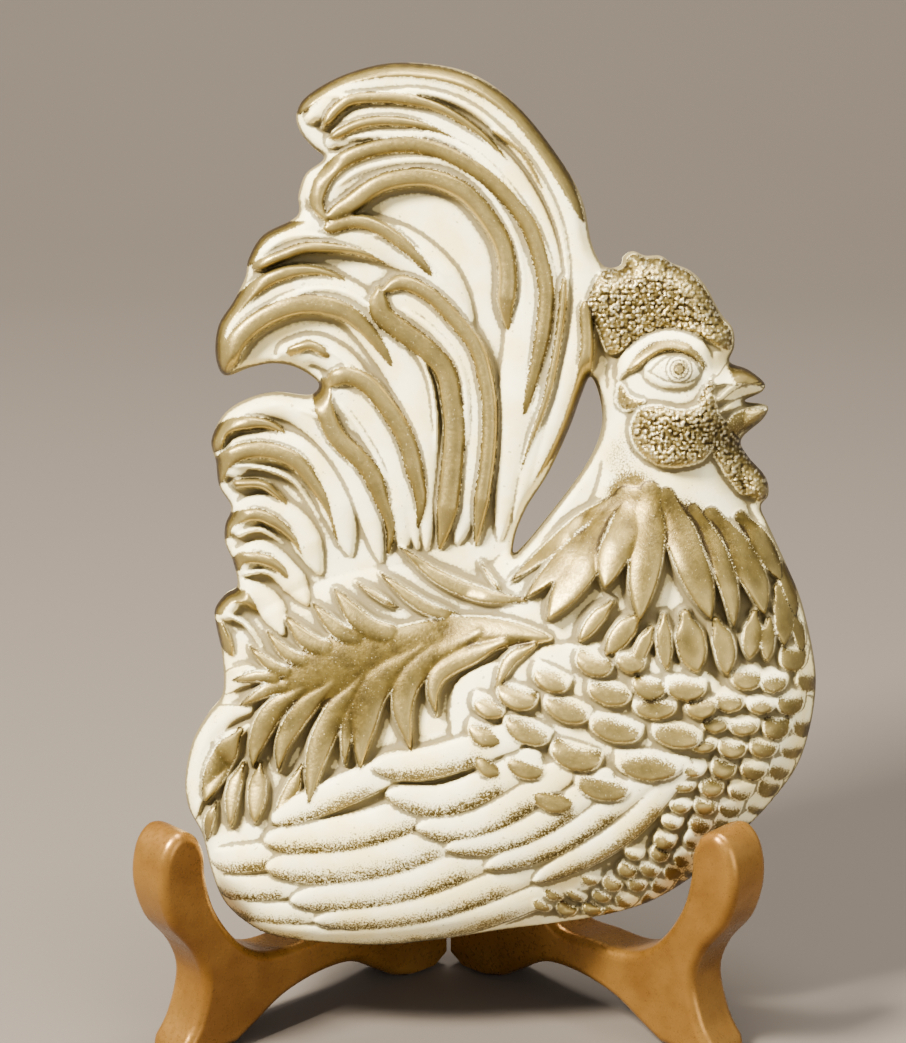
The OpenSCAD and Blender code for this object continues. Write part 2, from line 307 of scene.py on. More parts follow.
def base_shape(art):
    """The casting's large swellings: saddle, wing, breast, neck and head over the web."""
    soft = 3.5
    total = np.zeros(art.U.shape)
    # each one's centre, half width, half height, rise and turn in degrees
    masses = [(60, 80, 66, 66, 29, 0), (-10, 42, 80, 43, 22, 10), (-22, 88, 60, 38, 19, 12),
              (30, 66, 60, 40, 24, -20), (75, 188, 23, 19, 22, 0)]
    for u, v, half_u, half_v, rise, turn in masses:
        a = math.radians(turn)
        du = art.U - u
        dv = art.V - v
        x = (du * math.cos(a) + dv * math.sin(a)) / half_u
        y = (dv * math.cos(a) - du * math.sin(a)) / half_v
        s = np.clip(1 - x * x - y * y, 0, 1)
        total += np.exp((4 + (rise - 4) * np.sqrt(s)) / soft)
    neck = spline([(68, 108), (72, 130), (73, 152), (74, 178)], 8)
    box, far, t, _, _ = art.along(neck, 46)
    width = 42 - 19 * smooth(t, 0.0, 0.75)
    tall = 25 - 3 * t
    s = np.clip(1 - (far / width) ** 2, 0, 1)
    total[box] += np.exp((4 + (tall - 4) * np.sqrt(s)) / soft) - np.exp(4 / soft)
    total += np.exp(WEB / soft)
    art.base = soft * np.log(total)


def tail(art):
    """Plumes of the tail: cream shafts, with gold bands laid on them."""
    cream = [
        ([(-45, 274), (-33, 284), (-12, 287), (8, 283), (26, 268), (38, 248), (44, 224), (43, 200),
          (34, 172), (24, 140)], 6.0),
        ([(-38, 266), (-25, 273), (-5, 271), (14, 259), (27, 240), (34, 215), (31, 185), (22, 140)], 6.5),
        ([(-42, 243), (-37, 254), (-20, 260), (0, 258), (18, 244), (26, 224), (26, 198), (20, 160),
          (17, 135)], 8.0),
        ([(-64, 228), (-55, 236), (-35, 236), (-15, 231), (0, 217), (8, 200)], 7.0),
        ([(-74, 194), (-69, 208), (-52, 218), (-34, 214), (-20, 200), (-11, 182), (-8, 150),
          (-7, 132)], 7.0),
        ([(-56, 194), (-44, 198), (-32, 190), (-22, 172), (-14, 150), (-10, 132)], 5.0),
        ([(-20, 216), (-10, 211), (1, 200), (8, 182), (8, 160), (3, 134)], 8.0),
        ([(-38, 184), (-30, 178), (-20, 162), (-14, 132)], 7.0),
        ([(-76, 172), (-66, 180), (-50, 179), (-36, 166), (-27, 148), (-22, 128)], 5.5),
        ([(-74, 158), (-64, 166), (-50, 164), (-38, 150), (-32, 130)], 6.0),
        ([(-72, 139), (-62, 146), (-50, 140), (-42, 124)], 5.0),
        ([(-72, 126), (-62, 131), (-53, 124), (-46, 114)], 4.5),
        ([(-76, 110), (-70, 118), (-60, 115), (-54, 104)], 4.5),
    ]
    for points, half in cream:
        art.band(points, half, 4.0, base=0.4, gold=0.0, tip=0.05, root=0.25)
    ridges = [
        ([(-42, 281), (-28, 281), (-8, 282), (10, 275), (28, 256), (38, 232), (38, 200), (28, 165)], 1.6),
        ([(-34, 267), (-18, 268.5), (-2, 267), (14, 257), (28, 238), (35, 214), (30, 180), (21, 150)], 1.8),
        ([(-37, 251), (-28, 257), (-12, 260), (2, 258), (14, 248), (22, 234), (25, 218), (24, 195),
          (20, 165)], 1.5),
        ([(-62, 229), (-52, 235), (-38, 235), (-24, 233)], 1.2),
        ([(-66, 204), (-56, 214), (-42, 218), (-30, 215), (-18, 204), (-10, 186), (-8, 165)], 1.4),
        ([(-16, 212), (-5, 204), (4, 192), (6, 175), (5, 150), (2, 134)], 1.5),
        ([(-36, 181), (-28, 170), (-20, 155), (-15, 136)], 1.2),
        ([(-72, 160), (-60, 159), (-50, 154), (-42, 142)], 1.1),
        ([(-70, 137), (-62, 139), (-54, 134)], 1.0),
        ([(-69, 124), (-60, 125), (-54, 119)], 1.0),
        ([(-73, 111), (-66, 107), (-60, 98)], 1.0),
        ([(-45, 200), (-34, 194), (-24, 178), (-18, 160)], 1.0),
        ([(-12, 200), (-6, 188), (-4, 170), (-6, 150)], 1.0),
        ([(-50, 179), (-40, 174), (-32, 160), (-27, 142)], 1.2),
        ([(-60, 180), (-46, 180), (-34, 170), (-27, 152)], 1.2),
        ([(-28, 236), (-14, 233), (0, 221), (8, 206), (10, 196)], 0.9),
    ]
    for points, half in ridges:
        art.band(points, half, 1.9, base=3.5, gold=0.0, tip=0.08, root=0.5)
    bands = [
        ([(-49, 276), (-41, 284), (-30, 288), (-14, 289.5), (5, 286), (21, 276), (34, 260), (42, 245),
          (46, 232)], 2.9, 0.18),
        ([(-41, 271), (-36, 277), (-30, 280), (-16, 280), (-3, 277), (10, 269), (19, 260),
          (26, 249)], 2.3, 0.6),
        ([(-39, 267), (-28, 272), (-16, 272.5), (-5, 270), (6, 264), (15, 257)], 2.1, 0.6),
        ([(14, 270), (24, 262), (31, 250), (36, 238)], 1.2, 0.5),
        ([(-40, 240), (-43, 247), (-39, 256), (-30, 262), (-16, 265), (-3, 263), (10, 256), (19, 248),
          (26, 239), (30, 228), (32, 217), (31, 204), (28, 190), (24, 175), (20, 160)], 3.1, 0.25),
        ([(-40, 241), (-33, 245), (-23, 252), (-12, 254.5), (-3, 253.5), (6, 249), (13, 241), (18, 232),
          (19.5, 222), (19, 212), (20, 203)], 3.4, 0.12),
        ([(38, 222), (37, 209), (35, 196), (32, 182), (27, 168), (21, 150)], 1.7, 0.5),
        ([(44.5, 214), (45.5, 201), (44, 189), (40, 177), (35, 166), (29, 156), (24, 147)], 2.6, 0.7),
        ([(-66, 226), (-63, 232), (-57, 237), (-48, 239.5), (-41, 239)], 2.2, 0.5),
        ([(-41, 237.5), (-30, 240), (-21, 237), (-12, 230), (-5, 222), (3, 213)], 2.7, 0.5),
        ([(-64, 225), (-54, 229), (-46, 231.5), (-34, 231), (-26, 229), (-18, 225)], 2.2, 0.5),
        ([(-75, 190), (-76, 199), (-74, 207), (-67, 215), (-58, 221.5), (-48, 224), (-39, 223),
          (-31, 219)], 2.7, 0.35),
        ([(-73, 191), (-70, 200), (-63, 207), (-54, 211.5), (-45, 213), (-35, 211), (-28, 206), (-22, 199),
          (-17, 191), (-14, 182), (-13, 176)], 3.6, 0.5),
        ([(-53, 197), (-45, 199.5), (-37, 194)], 2.1, 0.3),
        ([(-22, 217), (-15, 220), (-6, 216), (2, 208), (9, 199), (12, 189), (13.5, 178), (13, 164),
          (11, 149), (9, 133)], 2.9, 0.15),
        ([(-23, 218), (-22, 210), (-15, 204), (-7, 198), (-1, 191), (1, 182), (2, 172), (1, 157), (-1, 141),
          (-3, 132)], 3.9, 0.15),
        ([(-40, 187), (-34, 189.5), (-27, 187), (-20, 179), (-14, 169), (-11, 158), (-9, 148),
          (-11, 136)], 3.4, 0.35),
        ([(-41, 188), (-41, 180), (-37, 170), (-30, 163), (-25, 157), (-22, 149), (-19, 140),
          (-20, 130)], 3.5, 0.4),
        ([(-77, 165), (-74, 172), (-67, 174), (-59, 173.5), (-51, 169)], 2.6, 0.5),
        ([(-76, 154), (-75, 160), (-68, 164.5), (-59, 165), (-50, 161.5), (-44, 154), (-39, 145),
          (-36, 133)], 3.2, 0.5),
        ([(-71, 154), (-62, 154), (-57, 151), (-51, 145)], 1.8, 0.5),
        ([(-74, 136), (-72, 141.5), (-64, 144), (-57, 141.5), (-51, 136), (-46, 127)], 2.5, 0.5),
        ([(-71, 125), (-68, 129.5), (-60, 129), (-54, 125), (-50, 117)], 2.4, 0.5),
        ([(-77, 111), (-73, 116.5), (-67, 116.5), (-62, 111)], 2.6, 0.4),
        ([(-77, 108), (-74, 102), (-71, 97)], 2.6, 0.5),
    ]
    for points, half, root in bands:
        art.band(points, 1.06 * half, 2.6, base=3.9, gold=1.0, tip=0.07, root=root)


def saddle(art):
    """Long gold feathers that sweep from the back down over the wing and the tail's root."""
    art.patch([(34, 104), (20, 110), (0, 111), (-20, 107), (-38, 105), (-50, 99), (-57, 92), (-57, 84),
               (-50, 79), (-40, 81), (-28, 84), (-15, 89), (0, 95), (16, 100)], 2.2, 9, base=2.4, gold=1.0)
    upper = [
        ([(25, 116), (10, 118), (-4, 124), (-17, 134)], 3.4), ([(6, 110), (-8, 114), (-23, 125)], 3.0),
        ([(-16, 113), (-23, 117), (-31, 122)], 1.8), ([(-10, 104), (-26, 107), (-38, 120)], 4.4),
        ([(-22, 102), (-34, 105), (-45, 115)], 3.6), ([(-32, 98), (-45, 102), (-54, 111)], 3.8),
        ([(-40, 94), (-52, 98), (-60, 106)], 3.0), ([(-46, 91), (-57, 94), (-66, 101)], 2.8),
        ([(-50, 89), (-62, 91), (-72, 89)], 2.8), ([(-46, 87), (-58, 87), (-69, 81)], 3.0),
        ([(18, 118), (14, 123), (10, 129)], 1.6),
    ]
    for points, half in upper:
        art.leaf(points, half, 1.9, base=2.4, slope=1.0, blunt=0.15, border=0.2, rise_in=0.3)
    lower = [
        ([(-48, 87), (-58, 79), (-63, 69), (-64.5, 60)], 4.4),
        ([(-38, 89), (-47, 81), (-54, 70), (-56, 59)], 4.2),
        ([(-28, 91), (-37, 79), (-43, 66), (-46, 48)], 4.8), ([(-30, 85), (-33, 76), (-34, 61)], 2.8),
        ([(-8, 101), (-24, 88), (-28, 74), (-29, 60)], 6.0),
        ([(10, 106), (-10, 94), (-15, 82), (-12, 66)], 5.2),
        ([(18, 103), (0, 95), (-5, 88), (-4, 78)], 4.0), ([(28, 102), (20, 97), (15, 87)], 3.0),
    ]
    for points, half in lower:
        art.leaf(points, half, 2.4, base=2.4, slope=1.4, blunt=0.1, border=0.2)
    second = [
        ([(-68.5, 73), (-74, 64.5), (-78, 56), (-80.5, 48.5)], 4.8),
        ([(-67.5, 62), (-71, 53), (-71.8, 40.5)], 3.2),
        ([(-62, 62), (-63, 52), (-63.8, 42)], 3.9), ([(-48, 62), (-52, 53), (-58, 42)], 3.2),
        ([(-76.5, 49), (-79, 43), (-80, 35)], 2.5),
    ]
    for points, half in second:
        art.leaf(points, half, 1.8, base=2.0, slope=1.6, blunt=0.2, border=0.24, root_width=0.3)
    plain = [
        ([(-66, 80), (-76, 76), (-84, 64), (-87, 50)], 5.0),
        ([(-66, 74), (-78, 66), (-83, 54), (-84, 42)], 4.0),
        ([(-60, 92), (-70, 90), (-76, 84)], 4.0),
    ]
    for points, half in plain:
        art.leaf(points, half, 2.0, base=0.5, slope=1.0, gold=0.15, blunt=0.4)


def wing(art):
    """Three tiers of long wing feathers, each lying over the one below it."""
    art.patch([(-78, 34), (-60, 46), (-40, 58), (-20, 68), (10, 74), (50, 70), (76, 60), (60, 40), (30, 18),
               (0, 5), (-30, 1), (-60, 5), (-78, 18)], 0.9, 6, gold=0.0)
    tail_end = [
        ([(-50, 33), (-66, 30.5), (-79, 29.5)], 5.2), ([(-46, 23), (-64, 20.5), (-78, 21)], 5.0),
        ([(-38, 14), (-58, 12), (-75, 14.5)], 4.8), ([(-26, 7), (-48, 4.5), (-66, 8)], 4.4),
    ]
    for k, (points, half) in enumerate(tail_end):
        art.leaf(points, half, 2.0, base=1.3 - 0.25 * k, slope=0.6, gold=0.7, gold_from=0.2, side=1,
                 blunt=0.9, root_width=0.9)
    low = [
        ([(-16, 62), (-36, 53), (-58, 43.5)], 5.6), ([(4, 52), (-30, 40), (-60.5, 37)], 6.8),
        ([(12, 44), (-24, 30.5), (-60, 28)], 7.2), ([(22, 37), (-16, 21.5), (-52, 17)], 6.4),
        ([(36, 31), (-6, 14.5), (-44, 10)], 5.8), ([(44, 24), (-2, 7), (-50, 1.5)], 5.4),
    ]
    for k, (points, half) in enumerate(low):
        art.leaf(points, half, 2.3, base=2.7 - 0.3 * k, slope=0.7, gold=0.66, gold_from=0.15, side=1,
                 blunt=0.95, root_width=0.95)
    high = [
        ([(20, 72), (-6, 63), (-25, 62)], 5.8), ([(26, 64), (0, 51), (-20.5, 53)], 5.9),
        ([(36, 60), (10, 43), (-10.5, 42)], 5.8), ([(50, 58), (24, 40), (-1, 35)], 5.4),
        ([(64, 58), (37, 38), (12, 28.5)], 5.2), ([(76, 62), (56, 40), (28, 23.5)], 5.0),
    ]
    for k, (points, half) in enumerate(high):
        art.leaf(points, half, 2.3, base=4.2 - 0.3 * k, slope=0.6, gold=0.72, gold_from=0.15, side=1,
                 blunt=0.92, root_width=0.95)


def scale(art, u, v, angle, length, half, base, rise=2.0, gold=1.0, cup=0.0, gold_from=0.3,
          border=0.2):
    """One short overlapping feather whose tip is at u, v."""
    a = math.radians(angle)
    du, dv = math.cos(a), math.sin(a)
    points = [(u - du * length, v - dv * length), (u - du * length * 0.5, v - dv * length * 0.5), (u, v)]
    art.leaf(points, half, rise, base=base, slope=2.2, gold=gold, gold_from=gold_from, blunt=0.8,
             border=border, root_width=0.6, rise_in=0.75, soft=0.4, cup=cup)


def coverts(art):
    """Gold-tipped scales on the wing's shoulder: place of each gold patch, and half the scale's width."""
    art.patch([(2, 88), (20, 98), (46, 103), (70, 98), (88, 90), (86, 76), (74, 58), (58, 46), (38, 42),
               (20, 50), (4, 62)], 1.4, 5, base=1.6, gold=0.0)
    marks = [(13, 82, 5.5), (22, 85, 6.5), (33, 91, 6.2), (38, 81, 7.4), (47, 96, 6.0), (52, 86.5, 6.8),
             (59, 97, 4.8), (65, 88.5, 5.4), (67, 82, 6.8), (77, 88, 6.4), (82, 82, 5.0), (54, 74.5, 8.2),
             (74, 72.5, 7.8), (25, 74, 7.6), (12, 73, 6.0), (41, 65.5, 8.0), (65, 62, 10.0), (25, 62.5, 6.6),
             (13, 63, 5.0), (50, 55.5, 8.6), (34, 51.5, 6.8)]
    to_tip = 3.8
    rng = np.random.default_rng(9)
    for u, v, half in sorted(marks, key=lambda mark: mark[1]):
        angle = -118 + 25 * (u - 10) / 70 + rng.uniform(-7, 7)
        a = math.radians(angle)
        tip = (u + to_tip * math.cos(a), v + to_tip * math.sin(a))
        scale(art, *tip, angle, 8 + 0.8 * half, 1.2 * half, 2.9 + 0.008 * v, 2.4,
              cup=rng.uniform(-0.25, 0.3))


def breast(art):
    """Small scales in staggered rows round the breast, smaller and swept back under the belly."""
    area = spline([(86, 89), (100, 91), (118, 96), (123, 84), (119, 66), (108, 46), (90, 28), (66, 12),
                   (36, 6), (14, 8), (30, 18), (56, 30), (72, 48), (80, 66), (87, 80)], 4, closed=True)
    rng = np.random.default_rng(5)
    v = 97.0
    row = 0
    while v > 5:
        size = 5.4 * (0.72 + 0.28 * float(smooth(v, 20, 85)))
        angle = -92 - 36 * (1 - v / 100)
        for u in np.arange(123 - size * (row % 2), 12, -2 * size):
            spot = (u + rng.uniform(-0.7, 0.7), v - 0.12 * (u - 80) + rng.uniform(-0.7, 0.7))
            if point_in(area, *spot):
                turn = angle + rng.uniform(-10, 10)
                half = 1.12 * size * rng.uniform(0.92, 1.06)
                gold = rng.uniform(0.85, 1.0)
                cup = rng.uniform(-0.25, 0.3)
                gold_from = rng.uniform(0.16, 0.52)
                scale(art, *spot, turn, 2.1 * size, half, 0.6 + 0.01 * v, 2.3, gold, cup,
                      gold_from=gold_from, border=0.26)
        v -= 1.4 * size
        row += 1


def point_in(pts, u, v):
    odd = False
    for a, b in zip(pts, np.roll(pts, -1, axis=0)):
        if (a[1] > v) != (b[1] > v) and u < (b[0] - a[0]) * (v - a[1]) / (b[1] - a[1]) + a[0]:
            odd = not odd
    return odd


def hackle(art):
    """Pointed neck feathers: a long row over a short one."""
    short = [
        ([(53, 116), (48, 111), (42, 103)], 3.2), ([(62, 112), (57, 107), (51, 99)], 4.2),
        ([(66, 108), (63, 102), (60, 95)], 3.2), ([(70, 112), (70, 103), (71, 94)], 3.4),
        ([(77, 112), (79, 102), (81, 93)], 5.6), ([(87, 110), (90, 101), (90.5, 92)], 4.4),
        ([(100, 112), (99, 105), (98, 97)], 4.2), ([(105, 110), (104.5, 104), (104, 96)], 3.2),
        ([(108, 120), (110, 112), (110, 101)], 4.2), ([(114, 110), (115.5, 105), (116.5, 99)], 3.0),
    ]
    for points, half in short:
        art.leaf(points, half, 2.0, base=3.0, slope=1.2, blunt=0.35)
    long = [
        ([(56, 150), (42, 141), (32, 132), (20, 122)], 3.0),
        ([(55, 146), (43, 136), (34, 126), (25, 117)], 4.0),
        ([(58, 150), (50, 138), (41, 124), (32, 110)], 6.4),
        ([(61, 150), (57, 138), (53, 130), (50.5, 120)], 6.0),
        ([(66, 152), (65, 136), (63, 122), (62, 110)], 6.2),
        ([(71, 150), (77, 134), (82, 121), (85.5, 110)], 6.2),
        ([(80, 146), (88, 131), (92, 118), (93, 107)], 4.2),
        ([(86, 144), (95, 132), (101, 121), (103.5, 111)], 5.6),
        ([(96, 143), (104, 133), (109.5, 122)], 4.4), ([(106, 132), (112, 121), (114.5, 110)], 3.4),
    ]
    for points, half in long:
        art.leaf(points, half, 2.6, base=3.6, slope=1.6, blunt=0.3, border=0.12, rise_in=0.6, root_width=0.6)


def head(art):
    """Face, eye, beak, comb and wattles."""
    art.patch([(45, 214), (50, 224), (57, 225), (58.5, 228.5), (61, 230), (65, 228.5), (70, 228.5),
               (76, 225.5),
               (80, 223.5), (85, 218), (90, 209), (93.5, 204), (93.5, 199), (91.5, 197.5), (86, 200),
               (80, 203), (72, 205), (65, 203), (59, 199), (55, 196.5), (51.5, 197.5),
               (48, 206)], 6.5, 3.5, base=1.0, pebble=1.0)
    art.band([(103, 150), (99.5, 156), (94, 163), (88, 171), (84, 179),
              (86, 189)], 6.6, 3.6, base=1.6, gold=0.9,
             tip=0.16, root=0.7, pebble=1.0)
    art.patch([(59.5, 174), (62, 179), (68, 180.5), (75, 179), (81, 180), (86, 184), (88, 178),
               (88, 170), (84, 162.5),
               (77, 160), (69, 160), (62.5, 164), (59.5, 169)], 4.2, 4.5, base=2.0, gold=0.9, pebble=1.0)
    art.patch([(55.5, 187), (57, 187), (60, 183), (64.5, 181.5), (61, 178.5), (57.5, 178),
               (54.8, 181)], 2.4, 2.0,
              base=1.0, gold=0.9, pebble=0.8)
    art.band([(56, 189), (59, 196.5), (66, 202), (75, 203), (82, 199.5),
              (86, 192)], 2.3, 2.6, base=1.6, gold=0.0,
             tip=0.2, root=0.2)
    art.band([(58, 191), (63, 196), (70, 199.8), (77, 199), (82, 195),
              (83.5, 191)], 2.6, 1.7, base=2.0, gold=0.85,
             tip=0.2, root=0.3)
    art.bump(73, 191.2, 9.2, 5.6, 1.8, base=1.4, gold=0.0)
    art.bump(73.5, 191.6, 7.4, 3.9, 0.5, base=3.2, gold=0.3)
    for radius, top, paint in ((4.3, 3.9, 0.35), (3.0, 4.3, 0.6), (1.6, 4.6, 0.9)):
        ring(art, 75, 191.8, radius, top, paint)
    line(art, [(65.5, 191), (69.5, 194.8), (74.5, 196.6), (79, 195.4), (82.5, 190.5)], 0.6, 1.0)
    line(art, [(65.5, 191), (70, 188.4), (75, 187.4), (79.5, 188), (82.5, 190.5)], 0.5, 0.9)
    line(art, [(67, 187), (71, 184.6), (76, 184), (81, 186.5)], 0.8, 0.55)
    line(art, [(77, 180), (83, 184), (87, 190)], 0.5, 0.7)
    art.leaf([(88, 188), (96, 190.5),
              (105, 186.5)], 4.4, 3.4, base=3.0, slope=-1.0, gold=0.95, gold_from=0.2,
             blunt=0.1)
    art.leaf([(88, 182), (97, 185.2), (104.5, 185)], 3.0, 1.4, base=1.6, slope=0.0, gold=0.1, blunt=0.2)
    art.leaf([(88, 177.5), (97, 181), (106, 180)], 1.8, 1.6, base=2.6, slope=-0.4, gold=0.0, blunt=0.2)
    art.leaf([(90, 171), (97, 174.5), (105, 178)], 4.6, 1.6, base=1.4, slope=-0.4, gold=0.75, blunt=0.1)
    line(art, [(88.5, 181), (95, 185.5), (104.5, 188)], 0.4, 0.8)
    line(art, [(89, 177), (96, 179), (105.5, 178.8)], 0.4, 0.8)


def line(art, points, half, strength):
    """A thin sunk line that holds dark paint."""
    box, far, _, _, _ = art.along(spline(points, 8), half * 3)
    mark = strength * np.exp(-(far / half) ** 2)
    art.ink_and_shadow[box] = np.maximum(art.ink_and_shadow[box], mark)
    art.lift[box] -= 0.5 * mark


def ring(art, u, v, radius, top, paint):
    """A flat disc of the eye, which later discs sink into or stand on."""
    box = art.window(np.array([[u, v]]), radius + 1)
    d = np.hypot(art.U[box] - u, art.V[box] - v)
    where = d < radius
    art.lift[box] = np.where(where, top + 0.25 * smooth(radius - d, 0, 0.5), art.lift[box])
    art.gold[box] = np.where(where, paint, art.gold[box])
    art.ink_and_shadow[box] = np.maximum(art.ink_and_shadow[box], np.exp(-((d - radius) / 0.4) ** 2))


def neck_wash(art):
    """Gold washed over the front of the neck, and the breast where the hackle starts."""
    bare = art.lift < 1.4
    washes = [(60, 148, 12, 15, 1.0), (72, 144, 18, 9, 0.75), (57, 162, 7, 12, 0.42)]
    for u, v, half_u, half_v, strength in washes:
        s = np.hypot((art.U - u) / half_u, (art.V - v) / half_v)
        art.gold = np.maximum(art.gold, np.where(bare, strength * smooth(1 - s, 0.0, 0.6), 0))


def sculpt():
    """The finished height field, with its paint and what lies inside the outline."""
    art = Relief(GRID)
    outline = spline(OUTLINE, 5, closed=True)
    gap = spline(NECK_GAP, 5, closed=True)
    base_shape(art)
    tail(art)
    breast(art)
    coverts(art)
    wing(art)
    saddle(art)
    hackle(art)
    head(art)
    neck_wash(art)
    solid = art.inside(outline) & ~art.inside(gap)
    rim = np.full(art.U.shape, 30.0)
    near = np.stack([art.U, art.V], axis=-1)
    for loop in (outline, gap):
        box, far, _, _, spot = art.along(np.vstack([loop, loop[:1]]), 30)
        closer = far < rim[box]
        rim[box] = np.where(closer, far, rim[box])
        near[box] = np.where(closer[..., None], spot, near[box])
    grain = pebbles(art.U, art.V, 1.25, 3)
    height = art.base + art.lift
    limit = EDGE + np.sqrt(2 * RIM_RADIUS * rim)
    soft = 1.2
    height = -soft * np.log(np.exp(-height / soft) + np.exp(-limit / soft))
    height = np.maximum(height, EDGE * 0.8)
    cells = 1.0 / art.step
    height = blur(height, 0.42 * cells) + art.pebble * smooth(rim, 0.6, 2.0) * (0.9 * grain - 0.4)
    art.gold = blur(art.gold, 0.35 * cells)
    fine = blur(height, 0.9 * cells)
    wide = blur(height, 2.4 * cells)
    # cavity: darkness of the fine creases, joined with the dark and shadow lines, for painted shade
    cavity = np.maximum(1.15 * blur(smooth(fine - height, 0.045, 0.22), 0.35 * cells), art.ink_and_shadow)
    # hollow: darkness of broad hollows, for painted shade
    hollow = smooth(wide - height, 0.2, 1.4)
    # crest: height above the surroundings, for a painted highlight
    crest = np.clip((height - wide) / 0.9, 0, 1)
    return art, height, cavity, hollow, crest, grain, solid, near


def drop_corners(cells):
    """Fills cells that touch only at a corner, so that the rim is one clean loop."""
    for _ in range(4):
        a, b, c, d = cells[:-1, :-1], cells[:-1, 1:], cells[1:, :-1], cells[1:, 1:]
        one = a & d & ~b & ~c
        two = b & c & ~a & ~d
        if not (one.any() or two.any()):
            break
        cells[:-1, 1:] |= one
        cells[:-1, :-1] |= two
    return cells


def loops_of(edges):
    """Joins directed edges into closed loops of vertex numbers."""
    follow = dict(edges)
    loops = []
    while follow:
        first, nxt = next(iter(follow.items()))
        loop = [first]
        del follow[first]
        while nxt != first:
            loop.append(nxt)
            nxt = follow.pop(nxt)
        loops.append(loop)
    return loops


def rooster_mesh():
    """Closes the height field with side walls and a flat back."""
    art, height, cavity, hollow, crest, grain, solid, near = sculpt()
    centre = solid[:-1, :-1].astype(int) + solid[1:, :-1] + solid[:-1, 1:] + solid[1:, 1:]
    cells = drop_corners(centre >= 3)
    used = np.zeros(art.U.shape, dtype=int)
    for di in (0, 1):
        for dj in (0, 1):
            used[di:di + cells.shape[0], dj:dj + cells.shape[1]] += cells
    number = np.full(art.U.shape, -1)
    keep = used > 0
    number[keep] = np.arange(keep.sum())
    rim = keep & (used < 4)
    u = np.where(rim, near[..., 0], art.U)
    v = np.where(rim, near[..., 1], art.V)
    w = np.where(rim, EDGE, height)
    a, b = number[:-1, :-1], number[:-1, 1:]
    c, d = number[1:, 1:], number[1:, :-1]
    faces = np.stack([a[cells], b[cells], c[cells], d[cells]], axis=1).tolist()
    padded = np.pad(cells, 1)
    inner = padded[1:-1, 1:-1]
    sides = [(padded[:-2, 1:-1], a, b), (padded[1:-1, 2:], b, c),
             (padded[2:, 1:-1], c, d), (padded[1:-1, :-2], d, a)]
    edges = []
    for beyond, start, end in sides:
        open_side = inner & ~beyond
        edges += list(zip(start[open_side].tolist(), end[open_side].tolist()))
    top = on_plane(u[keep], v[keep], w[keep])
    loops = loops_of(edges)
    places = top.tolist()
    # cavity and hollow carry painted shade to the material, crest a painted highlight
    paint = {"gold": art.gold[keep], "cavity": cavity[keep], "hollow": hollow[keep], "crest": crest[keep],
             "pebble": (art.pebble * grain)[keep]}
    flat_u, flat_v = u[keep], v[keep]
    rings = []
    for loop in loops:
        ids = np.array(loop)
        below = []
        for level in (1.0, 0.0):
            first = len(places)
            places += on_plane(flat_u[ids], flat_v[ids], np.full(len(ids), level)).tolist()
            below.append(list(range(first, first + len(ids))))
        chain = [loop] + below
        for upper, lower in zip(chain[:-1], chain[1:]):
            for k in range(len(loop)):
                n = (k + 1) % len(loop)
                faces.append([upper[n], upper[k], lower[k], lower[n]])
        rings.append(below[-1])
    flat = [[Vector(places[i]) for i in ring_ids] for ring_ids in rings]
    every = [i for ring_ids in rings for i in ring_ids]
    for tri in tessellate_polygon(flat):
        faces.append([every[i] for i in tri])
    extra = len(places) - len(top)
    mesh = bpy.data.meshes.new("rooster")
    mesh.from_pydata(places, [], faces)
    for name, values in paint.items():
        layer = mesh.attributes.new(name, "FLOAT", "POINT")
        layer.data.foreach_set("value", np.concatenate([values, np.zeros(extra)]).astype(np.float32))
    work = bmesh.new()
    work.from_mesh(mesh)
    bmesh.ops.recalc_face_normals(work, faces=work.faces)
    work.to_mesh(mesh)
    work.free()
    mesh.shade_smooth()
    mesh.set_sharp_from_angle(angle=math.radians(50))
    rooster = bpy.data.objects.new("rooster", mesh)
    bpy.context.scene.collection.objects.link(rooster)
    return rooster


# ---------------------------------------------------------------- materials

